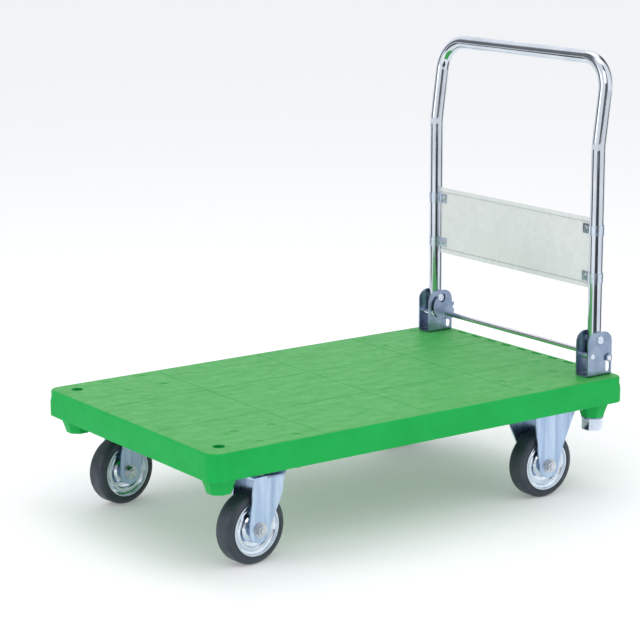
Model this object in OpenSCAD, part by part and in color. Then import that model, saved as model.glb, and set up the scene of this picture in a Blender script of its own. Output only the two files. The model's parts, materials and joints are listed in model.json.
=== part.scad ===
// Folding platform cart: a ribbed plastic deck on two swivel and two rigid
// casters, with a bent tube handle that folds down over the deck.
// +X runs along the deck towards the handle, +Y across it, +Z up.
// The origin is on the floor below the middle of the deck.

/* [Deck] */
// Length of the deck's top
deck_l = 900; // [880:5:940]
// Width of the deck's top
deck_w = 550; // [540:5:600]
// Height of the deck's top above the floor
deck_h = 217; // [214:1:222]
// Depth of the skirt round the deck
skirt_h = 48; // [44:1:50]
// How far the lower rim of the skirt stands out
rim_lip = 1.5; // [0.5:0.5:3]
// Wall thickness of the moulding
deck_wall = 5; // [4:0.5:6]
// Thickness of the ribs below the deck
rib_t = 3.5; // [2.5:0.5:5]
// Radius of the deck's upright corners
corner_r = 22; // [16:1:28]
// Radius of a corner boss at its lower end
boss_r = 21.5; // [20:0.5:24]
// Radius of a corner boss at the skirt's rim
boss_top_r = 33; // [28:0.5:34]
// How far a corner boss reaches below the skirt
boss_drop = 30; // [24:1:34]
// Radius of the hole through each corner boss
socket_r = 10.5; // [10.5:0.5:12]

/* [Wheels and casters] */
// Diameter of the wheels
wheel_d = 125; // [120:1:128]
// Width of the wheels
wheel_w = 38; // [34:1:40]
// Outer radius of the steel rims
rim_r = 47.4; // [44:0.2:50]
// Distance of each caster from the middle, along the deck
caster_x = 303; // [290:1:310]
// Distance of each caster from the middle, across the deck
caster_y = 212; // [200:1:215]
// Distance from a kingpin to its wheel's axle
trail = 36; // [30:1:40]
// Angle that the front left caster stands at
turn_left = 8; // [-20:1:20]
// Angle that the front right caster stands at
turn_right = 6; // [-20:1:20]
// Bolt spacing of the swivel casters, both ways
swivel_pitch = 75; // [72:1:78]
// Bolt spacing of the rigid casters, along the deck
rigid_pitch_x = 126; // [120:1:128]
// Bolt spacing of the rigid casters, across the deck
rigid_pitch_y = 74; // [73:1:78]

/* [Handle] */
// Outer diameter of the handle's tube
tube_d = 25.4; // [24:0.2:26]
// Wall thickness of the handle's tube
tube_wall = 1.6; // [1.2:0.2:2.4]
// Distance of the posts from the middle, along the deck
post_x = 410; // [405:1:412]
// Distance of each post from the middle, across the deck
post_y = 234; // [230:1:235]
// Height of the grip's centre line above the floor
grip_h = 795; // [760:5:1000]
// Height at which the posts lean back
lean_h = 640; // [600:5:660]
// Angle that the upper handle leans back by
lean_deg = 7.5; // [0.5:0.5:12]
// Radius of the handle's two corner bends
bend_r = 58; // [50:1:80]
// Height of the name panel
panel_h = 129; // [100:1:140]
// Height of the name panel's middle above the floor
panel_mid = 443; // [430:1:460]

/* [Hinge] */
// Height of the hinge brackets
bracket_h = 83; // [80:1:88]
// Length of the hinge brackets
bracket_l = 58; // [58:1:60]
// Height of the pivot above the deck
pivot_h = 68; // [66:1:70]
// Thickness of the brackets' steel
bracket_t = 2.8; // [2.4:0.2:3.2]
// Travel of the lock rod
lock_travel = 20; // [16:1:20]

/* [Hidden] */
$fn = 48;
front = -1;
rear = 1;
left = 1;
right = -1;
cut = 1;

// Heights
skirt_z = deck_h - skirt_h;
boss_z = skirt_z - boss_drop;
seat_z = skirt_z + 1;
plate_t = 4;
plate_z = seat_z - plate_t;
race_drop = 7.9;
ball_r = 2.4;
ball_play = 0.3;
crown_z = plate_z - race_drop - 2 * ball_r - ball_play;
wheel_r = wheel_d / 2;

// Wheel and fork
leg_t = 3;
leg_in = wheel_w / 2 + 5;
leg_out = leg_in + leg_t;
leg_end_r = 23;
axle_r = 6;
sleeve_r = 10;
hub_r = 15;
hub_half = leg_in - 1.5;
fit = 0.05;
band_t = 2;
kingpin_r = 6;
race_r = 24;
balls = 16;
swivel_plate = 100;
rigid_plate_l = 146;
rigid_plate_w = 100;
caster_bolt_r = 4;
crown_t = 3.5;
washer_t = 1.5;
axle_nut_h = 7;

// Handle and hinge
tube_r = tube_d / 2;
pivot_z = deck_h + pivot_h;
pivot_r = 5;
bush_r = 7.5;
tail = 31.5;
lean_bend_r = 120;
lean_tangent = lean_bend_r * tan(lean_deg / 2);
lean_z = lean_h - lean_tangent;
lean_l = (grip_h - lean_h) / cos(lean_deg) - lean_tangent;
gap = tube_d + 2.2;
bracket_w = gap + 2 * bracket_t;
base_z = deck_h + bracket_t;
rod_r = 5;
rod_x = post_x + 20;
rod_z = deck_h + 33;
stop_r = 5;
stop_x = post_x - tube_r - 0.5 - stop_r;
stop_z = deck_h + 39;
stud_r = 10;
nut_af_r = 19.6;
nut_t = 22;
panel_w = 2 * (post_y - tube_r) - 10;
clip_h = 18;
clip_t = 1.5;
clip_rise = 44;
sheet_t = 1.2;
screw_y = post_y - tube_r - 13;
lock_t = 3;
lock_r = 24;
lock_gap = 2;

// ---- Shared shapes ----

// A flat rectangle about the origin with round corners
module round_rect(l, w, r) {
    square([l - 2 * r, w], center = true);
    square([l, w - 2 * r], center = true);
    for (x = [-1, 1], y = [-1, 1])
        translate([x * (l / 2 - r), y * (w / 2 - r)]) circle(r);
}

// A hexagon head or nut whose corners lie at radius r
module hexagon(r, h) {
    cylinder(r = r, h = h, $fn = 6);
}

// A cylinder along +Y, centred on the origin
module bar_y(r, h) {
    rotate([90, 0, 0]) cylinder(r = r, h = h, center = true);
}

// Its children at the same place on the left and the right of the cart
module both_sides(x, y) {
    for (side = [left, right]) translate([x, side * y, 0]) children();
}

// Its children at the four corners of a bolt pattern
module pattern(px, py) {
    for (x = [-1, 1], y = [-1, 1]) translate([x * px / 2, y * py / 2, 0]) children();
}

// Its children at a front caster's kingpin, turned as that caster stands
module at_swivel(side) {
    translate([-caster_x, side * caster_y, 0])
        rotate([0, 0, side == left ? turn_left : turn_right]) children();
}

// Its children at the middle of a wheel
module at_wheel(end, side) {
    if (end == front) at_swivel(side) translate([-trail, 0, wheel_r]) children();
    else translate([caster_x, side * caster_y, wheel_r]) children();
}

// The point where a line from p touches a circle about c, on the side s
function touch(p, c, r, s) =
    let (v = p - c, d = norm(v), base = atan2(v[1], v[0]), open = acos(r / d))
    c + r * [cos(base + s * open), sin(base + s * open)];

// ---- Deck ----

// Ribs, seats and bosses below the deck's top stop at this box
module deck_inside() {
    translate([0, 0, boss_z - cut])
        linear_extrude(deck_h - boss_z + cut - deck_wall / 2)
            round_rect(deck_l - deck_wall, deck_w - deck_wall, corner_r - deck_wall / 2);
}

// Two sets of crossed ribs, closer together than a tenth of the deck
module rib_grid() {
    rib_z = skirt_z + 8;
    cells_x = 12;
    cells_y = 7;
    for (i = [1 : cells_x - 1])
        translate([deck_l * (i / cells_x - 0.5) - rib_t / 2, -deck_w / 2, rib_z])
            cube([rib_t, deck_w, deck_h - rib_z]);
    for (i = [1 : cells_y - 1])
        translate([-deck_l / 2, deck_w * (i / cells_y - 0.5) - rib_t / 2, rib_z])
            cube([deck_l, rib_t, deck_h - rib_z]);
}

// A square of walls and four posts that a caster's plate bolts to
module caster_seat(l, w, px, py) {
    h = deck_h - seat_z - deck_wall / 2;
    seat_wall = 4;
    translate([0, 0, seat_z]) {
        difference() {
            linear_extrude(h) square([l, w], center = true);
            translate([0, 0, -cut])
                linear_extrude(h + 2 * cut) square([l - 2 * seat_wall, w - 2 * seat_wall], center = true);
        }
        for (a = [0, 90]) rotate([0, 0, a])
            translate([0, 0, h / 2]) cube([(a == 0 ? l : w) - seat_wall, rib_t, h], center = true);
        pattern(px, py) cylinder(r = 12, h = h);
    }
}

module deck() {
    seat_bore_r = 6.5;
    seat_bore_h = 22;
    color("limegreen") difference() {
        union() {
            difference() {
                union() {
                    translate([0, 0, skirt_z]) linear_extrude(skirt_h) round_rect(deck_l, deck_w, corner_r);
                    translate([0, 0, skirt_z]) linear_extrude(28)
                        round_rect(deck_l + 2 * rim_lip, deck_w + 2 * rim_lip, corner_r + rim_lip);
                }
                translate([0, 0, skirt_z - cut]) linear_extrude(skirt_h - deck_wall + cut)
                    round_rect(deck_l - 2 * deck_wall, deck_w - 2 * deck_wall, corner_r - deck_wall);
            }
            intersection() {
                deck_inside();
                union() {
                    rib_grid();
                    both_sides(-caster_x, caster_y)
                        caster_seat(swivel_plate + 4, swivel_plate + 4, swivel_pitch, swivel_pitch);
                    both_sides(caster_x, caster_y)
                        caster_seat(rigid_plate_l + 6, rigid_plate_w + 4, rigid_pitch_x, rigid_pitch_y);
                    for (end = [-1, 1]) both_sides(end * post_x, post_y) {
                        translate([0, 0, boss_z]) cylinder(r1 = boss_r, r2 = boss_top_r, h = boss_drop);
                        translate([0, 0, skirt_z]) cylinder(r = boss_top_r, h = skirt_h);
                    }
                }
            }
        }
        for (end = [-1, 1]) both_sides(end * post_x, post_y)
            translate([0, 0, boss_z - cut]) cylinder(r = socket_r, h = deck_h - boss_z + 2 * cut);
        both_sides(-caster_x, caster_y) pattern(swivel_pitch, swivel_pitch)
            translate([0, 0, seat_z - cut]) cylinder(r = seat_bore_r, h = seat_bore_h + cut);
        both_sides(caster_x, caster_y) pattern(rigid_pitch_x, rigid_pitch_y)
            translate([0, 0, seat_z - cut]) cylinder(r = seat_bore_r, h = seat_bore_h + cut);
    }
}

// Every caster bolt's place
module caster_bolt_places() {
    both_sides(-caster_x, caster_y) pattern(swivel_pitch, swivel_pitch) children();
    both_sides(caster_x, caster_y) pattern(rigid_pitch_x, rigid_pitch_y) children();
}

// Threaded brass inserts moulded into the seats
module caster_inserts() {
    insert_h = 20;
    color("goldenrod") caster_bolt_places() translate([0, 0, seat_z]) difference() {
        cylinder(r = 6.5, h = insert_h);
        translate([0, 0, -cut]) cylinder(r = caster_bolt_r, h = insert_h + 2 * cut);
    }
}

// Hexagon bolts with washers, screwed up into the inserts
module caster_bolts() {
    color("silver") caster_bolt_places() {
        translate([0, 0, plate_z - 5]) hexagon(6.5, 4);
        translate([0, 0, plate_z - 1.2]) cylinder(r = 7.5, h = 1.2);
        translate([0, 0, plate_z - 2]) cylinder(r = caster_bolt_r, h = 22);
    }
}

// ---- Hinge brackets ----

// Outline of a bracket's side plate, seen from the side
module cheek_outline() {
    top_r = 20;
    translate([-bracket_l / 2, 0]) square([bracket_l, bracket_h - top_r]);
    translate([-bracket_l / 2 + top_r, 0]) square([bracket_l - 2 * top_r, bracket_h]);
    for (x = [-1, 1]) translate([x * (bracket_l / 2 - top_r), bracket_h - top_r]) circle(top_r);
}

// A channel of two side plates on a base, which the stud clamps to the deck
module bracket(side) {
    slot_r = rod_r + 0.4;
    color("lightsteelblue") translate([post_x, side * post_y, 0]) difference() {
        union() {
            for (s = [-1, 1]) translate([0, s * (gap + bracket_t) / 2, deck_h])
                rotate([90, 0, 0]) linear_extrude(bracket_t, center = true) cheek_outline();
            translate([-bracket_l / 2, -bracket_w / 2, deck_h]) cube([bracket_l, bracket_w, bracket_t]);
        }
        translate([0, 0, pivot_z]) bar_y(pivot_r, bracket_w + 2 * cut);
        translate([stop_x - post_x, 0, stop_z]) bar_y(stop_r - 1.5, bracket_w + 2 * cut);
        for (z = [rod_z, rod_z - lock_travel - 1])
            translate([rod_x - post_x, 0, z]) bar_y(slot_r, bracket_w + 2 * cut);
        translate([rod_x - post_x - slot_r, -bracket_w, rod_z - lock_travel - 1])
            cube([2 * slot_r, 2 * bracket_w, lock_travel + 1]);
        translate([0, 0, deck_h - cut]) cylinder(r = stud_r, h = bracket_t + 2 * cut);
    }
}

// Studs with a flat head held between the side plates
module bracket_studs() {
    color("silver") both_sides(post_x, post_y) {
        translate([0, 0, boss_z - nut_t - 3]) cylinder(r = stud_r, h = base_z - boss_z + nut_t + 3);
        translate([-11, -gap / 2 + 0.3, base_z]) cube([22, gap - 0.6, 7]);
    }
}

module bracket_washers() {
    color("lightsteelblue") both_sides(post_x, post_y) translate([0, 0, boss_z - 2.5]) difference() {
        cylinder(r = 20.5, h = 2.5);
        translate([0, 0, -cut]) cylinder(r = stud_r, h = 2.5 + 2 * cut);
    }
}

module bracket_nuts() {
    color("silver") both_sides(post_x, post_y) translate([0, 0, boss_z - 2.5 - nut_t]) difference() {
        hexagon(nut_af_r, nut_t);
        translate([0, 0, -cut]) cylinder(r = stud_r, h = nut_t + 2 * cut);
    }
}

// Rivets that the handle turns on
module pivot_pins() {
    color("silver") both_sides(post_x, post_y) translate([0, 0, pivot_z]) {
        bar_y(pivot_r, bracket_w + 2);
        for (s = [-1, 1]) translate([0, s * (bracket_w / 2 + 1.25), 0]) bar_y(8, 2.5);
    }
}

// Rivets that stop the lower end of each post
module stop_pins() {
    color("silver") both_sides(stop_x, post_y) translate([0, 0, stop_z]) {
        bar_y(stop_r, gap);
        bar_y(stop_r - 1.5, bracket_w + 2);
        for (s = [-1, 1]) translate([0, s * (bracket_w / 2 + 0.8), 0]) bar_y(5.5, 1.6);
    }
}

// ---- Lock ----

// The foot rod that runs through the slots of both brackets
module lock_rod() {
    color("silver") translate([rod_x, 0, rod_z]) bar_y(rod_r, 2 * (post_y + bracket_w / 2 + 4.6));
}

// Nuts on the rod's ends, outside the brackets
module lock_rod_nuts() {
    nut_h = 3.4;
    color("lightsteelblue") for (side = [left, right])
        translate([rod_x, side * (post_y + bracket_w / 2 + 0.6 + nut_h / 2), rod_z]) rotate([90, 0, 0])
            difference() {
                cylinder(r = 8, h = nut_h, center = true, $fn = 6);
                cylinder(r = rod_r, h = nut_h + 2 * cut, center = true);
            }
}

// A plate on the rod beside each bracket, slotted so that it straddles the pivot
module lock_plate(side) {
    slot_r = 8.4;
    mid_x = post_x + 3;
    mid_z = deck_h + 51;
    y_mid = side * (post_y - bracket_w / 2 - lock_gap - lock_t / 2);
    color("lightsteelblue") difference() {
        union() {
            translate([mid_x, y_mid, mid_z]) bar_y(lock_r, lock_t);
            translate([rod_x, y_mid, rod_z]) bar_y(11, lock_t);
            translate([rod_x - 8, y_mid - lock_t / 2, rod_z]) cube([19, lock_t, 24]);
        }
        translate([post_x, y_mid, pivot_z]) bar_y(slot_r, lock_t + 2 * cut);
        translate([post_x - slot_r, y_mid - lock_t / 2 - cut, pivot_z])
            cube([2 * slot_r, lock_t + 2 * cut, lock_r]);
        translate([rod_x, y_mid, rod_z]) bar_y(rod_r, lock_t + 2 * cut);
        translate([rod_x + 12, y_mid, rod_z + 14]) bar_y(4.5, lock_t + 2 * cut);
    }
}

// A ring of points for each step along a coil, and the faces that join them
module coil(r, wire_r, h, turns) {
    sides = 8;
    steps = 12 * turns;
    rings = [for (i = [0 : steps]) let (a = 360 * turns * i / steps, z = h * i / steps)
        [for (k = [0 : sides - 1]) let (b = 360 * k / sides, q = r + wire_r * cos(b))
            [q * cos(a), q * sin(a), z + wire_r * sin(b)]]];
    points = [for (ring = rings, p = ring) p];
    walls = [for (i = [0 : steps - 1], k = [0 : sides - 1]) let (n = (k + 1) % sides)
        [i * sides + k, i * sides + n, (i + 1) * sides + n, (i + 1) * sides + k]];
    ends = [[for (k = [sides - 1 : -1 : 0]) k], [for (k = [0 : sides - 1]) steps * sides + k]];
    polyhedron(points, concat(walls, ends));
}

// Springs between the brackets' bases and the rod
module lock_springs() {
    wire_r = 0.6;
    color("silver") both_sides(rod_x, post_y) translate([0, 0, base_z + wire_r])
        coil(4.6, wire_r, rod_z - rod_r - base_z - 2 * wire_r, 3);
}

// ---- Handle ----

// Its children in the frame of the leaning upper handle, where its bend ends
module on_lean() {
    translate([lean_bend_r, 0, lean_z]) rotate([0, lean_deg, 0])
        translate([-lean_bend_r, 0, 0]) children();
}

// The tube in section; a bend's wall is a hair thinner than a straight's
module tube_section(thin) {
    difference() {
        circle(tube_r - thin);
        circle(tube_r - tube_wall + thin);
    }
}

// The left post with its two bends, at post_y
module post() {
    thin = 0.1;
    tail_z = pivot_z - tail;
    difference() {
        translate([0, post_y, tail_z]) linear_extrude(lean_z - tail_z) tube_section(0);
        translate([0, post_y, pivot_z]) bar_y(bush_r, tube_d + 2 * cut);
    }
    translate([lean_bend_r, post_y, lean_z]) rotate([90, 0, 180])
        rotate_extrude(angle = lean_deg) translate([lean_bend_r, 0]) tube_section(thin);
    on_lean() translate([0, post_y, 0]) {
        linear_extrude(lean_l - bend_r) tube_section(0);
        translate([0, -bend_r, lean_l - bend_r]) rotate([90, 0, 90])
            rotate_extrude(angle = 90) translate([bend_r, 0]) tube_section(thin);
    }
}

module handle_tube() {
    bar_l = 2 * (post_y - bend_r);
    color("lightsteelblue") translate([post_x, 0, 0]) {
        post();
        mirror([0, 1, 0]) post();
        on_lean() translate([0, 0, lean_l]) rotate([90, 0, 0])
            linear_extrude(bar_l, center = true) tube_section(0);
    }
}

// Steel bushes welded across the posts, which turn on the pivot rivets
module pivot_bushes() {
    color("silver") both_sides(post_x, post_y) translate([0, 0, pivot_z]) difference() {
        bar_y(bush_r, gap - 1);
        bar_y(pivot_r + fit, gap + cut);
    }
}

// Plastic plugs that close the lower ends of the tube
module tube_plugs() {
    color("dimgray") both_sides(post_x, post_y)
        translate([0, 0, pivot_z - tail]) cylinder(r = tube_r - tube_wall, h = 10);
}

// A blank sheet steel panel with its upper and lower edges folded over
module name_panel() {
    hem_h = 8;
    color("whitesmoke") translate([post_x, 0, panel_mid]) difference() {
        union() {
            cube([sheet_t, panel_w, panel_h], center = true);
            for (s = [-1, 1]) translate([-sheet_t, 0, s * (panel_h - hem_h) / 2])
                cube([sheet_t, panel_w, hem_h], center = true);
        }
        for (y = [-1, 1], z = [-1, 1]) translate([0, y * screw_y, z * clip_rise])
            rotate([0, 90, 0]) cylinder(r = 2.6, h = 10, center = true);
    }
}

// Its children at each of the four clips, turned so that -Y points inwards
module at_clips() {
    for (s = [-1, 1], z = [-1, 1]) translate([post_x, 0, panel_mid + z * clip_rise])
        mirror([0, s == 1 ? 0 : 1, 0]) translate([0, post_y, 0]) children();
}

// Sheet bands that wrap the posts and pinch the panel between two tabs
module panel_clips() {
    tab_l = 22;
    band_r = tube_r + clip_t;
    color("silver") at_clips() difference() {
        union() {
            cylinder(r = band_r, h = clip_h, center = true);
            translate([-clip_t - sheet_t / 2, -tube_r - tab_l, -clip_h / 2])
                cube([2 * clip_t + sheet_t, tab_l, clip_h]);
        }
        cylinder(r = tube_r, h = clip_h + 2 * cut, center = true);
        translate([-sheet_t / 2, -tube_r - tab_l - cut, -clip_h / 2 - cut])
            cube([sheet_t, tab_l + 2 * cut, clip_h + 2 * cut]);
        translate([0, screw_y - post_y, 0]) rotate([0, 90, 0]) cylinder(r = 2.6, h = 20, center = true);
    }
}

module clip_screws() {
    grip = 2 * clip_t + sheet_t;
    color("silver") at_clips() translate([0, screw_y - post_y, 0]) rotate([0, 90, 0]) {
        cylinder(r = 2.5, h = grip + 10, center = true);
        translate([0, 0, -grip / 2 - 2.4]) cylinder(r = 4.6, h = 2.4);
    }
}

module clip_nuts() {
    grip = 2 * clip_t + sheet_t;
    color("silver") at_clips() translate([grip / 2, screw_y - post_y, 0]) rotate([0, 90, 0])
        difference() {
            hexagon(4.6, 4);
            translate([0, 0, -cut]) cylinder(r = 2.5, h = 4 + 2 * cut);
        }
}

// ---- Casters ----

module swivel_plate(side) {
    color("lightsteelblue") translate([-caster_x, side * caster_y, plate_z]) difference() {
        union() {
            linear_extrude(plate_t) round_rect(swivel_plate, swivel_plate, 8);
            translate([0, 0, -race_drop]) cylinder(r = race_r + 4, h = race_drop + 0.1);
        }
        translate([0, 0, -race_drop - cut]) cylinder(r = kingpin_r, h = plate_t + race_drop + 2 * cut);
        pattern(swivel_pitch, swivel_pitch)
            translate([0, 0, -cut]) cylinder(r = caster_bolt_r + 0.5, h = plate_t + 2 * cut);
    }
}

// A rivet fixed in the plate, with the crown turning above its lower head
module kingpin(side) {
    head_t = 4;
    head_z = crown_z - crown_t - 0.4 - head_t;
    color("silver") translate([-caster_x, side * caster_y, head_z]) {
        cylinder(r = kingpin_r, h = seat_z - head_z);
        cylinder(r = 11, h = head_t);
    }
}

module race_balls(side) {
    color("silver") translate([-caster_x, side * caster_y, plate_z - race_drop - ball_r])
        for (i = [0 : balls - 1]) rotate([0, 0, 360 * i / balls])
            translate([race_r, 0, 0]) sphere(ball_r);
}

// A fork leg's outline from its top edge down to a round end about the axle.
// The points run from the top left, over the top, to the lower right.
module leg_outline(axle, top) {
    last = len(top) - 1;
    polygon(concat(top, [
        touch(top[last], axle, leg_end_r, -1),
        touch(top[0], axle, leg_end_r, 1)
    ]));
    translate(axle) circle(leg_end_r);
}

// A fork leg stood on edge at y, bored for the axle
module leg(y, axle, top) {
    translate([0, y, 0]) rotate([90, 0, 0]) linear_extrude(leg_t, center = true) leg_outline(axle, top);
}

module swivel_fork(side) {
    leg_y = leg_in + leg_t / 2;
    top = [[-47, crown_z], [22, crown_z], [17, crown_z - 35]];
    color("lightsteelblue") at_swivel(side) difference() {
        union() {
            for (s = [-1, 1]) leg(s * leg_y, [-trail, wheel_r], top);
            translate([-47, -leg_out, crown_z - crown_t]) cube([69, 2 * leg_out, crown_t]);
            translate([0, 0, crown_z - crown_t]) cylinder(r = race_r + 10, h = crown_t);
        }
        translate([0, 0, crown_z - crown_t - cut]) cylinder(r = kingpin_r + fit, h = crown_t + 2 * cut);
        translate([-trail, 0, wheel_r]) bar_y(axle_r, 2 * leg_out + 2 * cut);
    }
}

// Each leg has a gusset on one side only, and the two legs are the same pressing
module rigid_fork(side) {
    leg_y = leg_in + leg_t / 2;
    top = [[-37, plate_z + 1], [rigid_plate_l / 2, plate_z + 1], [35, 98]];
    color("lightsteelblue") translate([caster_x, side * caster_y, 0]) difference() {
        union() {
            translate([0, 0, plate_z]) linear_extrude(plate_t) round_rect(rigid_plate_l, rigid_plate_w, 8);
            for (turn = [0, 180]) rotate([0, 0, turn]) leg(-leg_y, [0, wheel_r], top);
        }
        translate([0, 0, wheel_r]) bar_y(axle_r, 2 * leg_out + 2 * cut);
        translate([0, 0, plate_z - cut]) pattern(rigid_pitch_x, rigid_pitch_y)
            cylinder(r = caster_bolt_r + 0.5, h = plate_t + 2 * cut);
    }
}

// A bolt through both legs, with its head on the +Y side
module axle(end, side) {
    head_h = 7;
    tip = washer_t + axle_nut_h + 2;
    color("silver") at_wheel(end, side) rotate([90, 0, 0]) {
        translate([0, 0, -leg_out]) cylinder(r = axle_r, h = 2 * leg_out + tip);
        translate([0, 0, -leg_out - head_h]) hexagon(10.4, head_h);
    }
}

// A washer and a nut on the -Y side
module axle_nut(end, side) {
    color("silver") at_wheel(end, side) rotate([90, 0, 0]) translate([0, 0, leg_out]) difference() {
        union() {
            cylinder(r = 13, h = washer_t);
            translate([0, 0, washer_t]) hexagon(10.4, axle_nut_h);
        }
        translate([0, 0, -cut]) cylinder(r = axle_r, h = washer_t + axle_nut_h + 2 * cut);
    }
}

// A tube clamped between the legs, which the wheel's hub runs on
module sleeve(end, side) {
    color("silver") at_wheel(end, side) difference() {
        bar_y(sleeve_r, 2 * leg_in);
        bar_y(axle_r, 2 * leg_in + 2 * cut);
    }
}

// ---- Wheels ----

// A solid rubber ring with rounded shoulders
module tyre(end, side) {
    shoulder_r = 12;
    flank_r = wheel_r - shoulder_r;
    color("dimgray") at_wheel(end, side) rotate([90, 0, 0]) rotate_extrude() difference() {
        union() {
            translate([rim_r, -wheel_w / 2]) square([flank_r - rim_r, wheel_w]);
            translate([rim_r, shoulder_r - wheel_w / 2])
                square([wheel_r - rim_r, wheel_w - 2 * shoulder_r]);
            for (s = [-1, 1]) translate([flank_r, s * (wheel_w / 2 - shoulder_r)]) circle(shoulder_r);
        }
        translate([0, -wheel_w]) square([rim_r, 2 * wheel_w]);
    }
}

// A list of section points turned end for end, and one flipped across the wheel
function reversed(p) = [for (i = [len(p) - 1 : -1 : 0]) p[i]];
function flipped(p) = [for (q = p) [q[0], -q[1]]];

// Two pressed discs and the band that joins them, from the hub to the tyre
module rim(end, side) {
    lip = wheel_w / 2;
    face = [
        [hub_r, 16], [20, 14], [24, 10], [31, 11], [33, 15.5], [37.5, 15.5], [40, 12.5],
        [rim_r - 3, 14], [rim_r - 2.4, lip], [rim_r, lip]
    ];
    back = [
        [hub_r, 14.2], [19.3, 12.2], [24, 8.2], [31.8, 9.2], [33.8, 13.7], [37, 13.7], [40, 10.7],
        [rim_r - 3, lip - 6.8], [rim_r - band_t, lip - 7]
    ];
    color("lightsteelblue") at_wheel(end, side) rotate([90, 0, 0]) rotate_extrude()
        polygon(concat(face, reversed(flipped(face)), flipped(back), reversed(back)));
}

module hub(end, side) {
    color("silver") at_wheel(end, side) difference() {
        bar_y(hub_r, 2 * hub_half);
        bar_y(sleeve_r + fit, 2 * hub_half + 2 * cut);
    }
}

deck();
caster_inserts();
caster_bolts();
bracket(left);  // bracket_left
bracket(right);  // bracket_right
bracket_studs();
bracket_washers();
bracket_nuts();
pivot_pins();
stop_pins();
lock_rod();
lock_rod_nuts();
lock_plate(left);  // lock_plate_left
lock_plate(right);  // lock_plate_right
lock_springs();
handle_tube();
pivot_bushes();
tube_plugs();
name_panel();
panel_clips();
clip_screws();
clip_nuts();
swivel_plate(left);  // swivel_plate_left
swivel_plate(right);  // swivel_plate_right
kingpin(left);  // kingpin_left
kingpin(right);  // kingpin_right
race_balls(left);  // race_balls_left
race_balls(right);  // race_balls_right
swivel_fork(left);  // swivel_fork_left
swivel_fork(right);  // swivel_fork_right
axle(front, left);  // front_axle_left
axle(front, right);  // front_axle_right
axle_nut(front, left);  // front_axle_nut_left
axle_nut(front, right);  // front_axle_nut_right
rigid_fork(left);  // rigid_fork_left
rigid_fork(right);  // rigid_fork_right
axle(rear, left);  // rear_axle_left
axle(rear, right);  // rear_axle_right
axle_nut(rear, left);  // rear_axle_nut_left
axle_nut(rear, right);  // rear_axle_nut_right
tyre(front, left);  // tyre_front_left
tyre(front, right);  // tyre_front_right
tyre(rear, left);  // tyre_rear_left
tyre(rear, right);  // tyre_rear_right
rim(front, left);  // rim_front_left
rim(front, right);  // rim_front_right
rim(rear, left);  // rim_rear_left
rim(rear, right);  // rim_rear_right
hub(front, left);  // hub_front_left
hub(front, right);  // hub_front_right
hub(rear, left);  // hub_rear_left
hub(rear, right);  // hub_rear_right
sleeve(front, left);  // sleeve_front_left
sleeve(front, right);  // sleeve_front_right
sleeve(rear, left);  // sleeve_rear_left
sleeve(rear, right);  // sleeve_rear_right
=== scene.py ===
import json
import math

import bmesh
import bpy
from mathutils import Euler, Matrix, Vector


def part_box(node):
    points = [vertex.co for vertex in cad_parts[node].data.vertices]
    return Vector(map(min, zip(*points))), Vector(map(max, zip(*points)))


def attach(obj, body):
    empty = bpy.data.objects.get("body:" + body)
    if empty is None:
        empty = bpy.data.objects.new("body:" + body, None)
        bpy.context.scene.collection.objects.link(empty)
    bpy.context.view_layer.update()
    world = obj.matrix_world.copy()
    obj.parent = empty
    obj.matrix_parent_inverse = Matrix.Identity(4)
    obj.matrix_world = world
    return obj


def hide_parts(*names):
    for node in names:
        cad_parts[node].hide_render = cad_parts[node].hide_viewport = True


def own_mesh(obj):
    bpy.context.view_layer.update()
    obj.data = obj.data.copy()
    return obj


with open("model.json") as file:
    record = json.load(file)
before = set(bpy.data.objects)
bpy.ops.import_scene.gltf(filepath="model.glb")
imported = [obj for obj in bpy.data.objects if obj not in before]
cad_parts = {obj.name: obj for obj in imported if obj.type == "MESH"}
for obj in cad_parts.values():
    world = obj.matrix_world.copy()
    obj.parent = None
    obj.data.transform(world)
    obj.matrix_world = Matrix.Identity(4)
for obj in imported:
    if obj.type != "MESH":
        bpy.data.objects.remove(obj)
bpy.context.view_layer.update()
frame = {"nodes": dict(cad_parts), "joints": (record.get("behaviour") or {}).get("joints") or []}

# ---- Camera, light and floor ----
# The cart stands on a pale floor, seen from its front right corner, a little above
# the handle's height. Soft boxes light it. Dark bands in the sky and dark cards on
# the floor put the dark lines in its chrome.
camera_up, camera_heading, camera_roll = math.radians(77.49), math.radians(-35.41), math.radians(-0.24)
bpy.ops.object.select_all(action="DESELECT")
bpy.ops.object.camera_add(location=(-2.2869, -3.1604, 1.1979))
camera = bpy.context.object
aim = Euler((camera_up, 0, camera_heading)).to_matrix()
camera.rotation_euler = (aim @ Matrix.Rotation(camera_roll, 3, "Z")).to_euler()
camera.data.lens = 124.3
camera.data.sensor_width = 36
bpy.context.scene.camera = camera
bpy.context.scene.view_settings.view_transform = "Standard"


def soft_box(name, place, target, size, power):
    """A square studio light that faces its target."""
    bpy.ops.object.light_add(type="AREA", location=place)
    light = bpy.context.object
    light.name = name
    light.rotation_euler = (Vector(target) - Vector(place)).to_track_quat("-Z", "Y").to_euler()
    light.data.size = size
    light.data.energy = power


soft_box("key_light", (-1.6, -2.6, 3.2), (0, 0, 0.2), 2.2, 22)
soft_box("top_light", (0.3, 0.4, 3.4), (0, 0, 0.2), 2.6, 20)
soft_box("side_light", (-3.4, 1.2, 1.6), (0, 0, 0.3), 1.6, 9)


def colour_mix(tree):
    """A mix of two colours: its factor, its two colour inputs and its output."""
    mix = tree.nodes.new("ShaderNodeMix")
    mix.data_type = "RGBA"
    first, second = (socket for socket in mix.inputs if socket.type == "RGBA")
    result = next(socket for socket in mix.outputs if socket.type == "RGBA")
    return mix.inputs["Factor"], first, second, result


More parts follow.
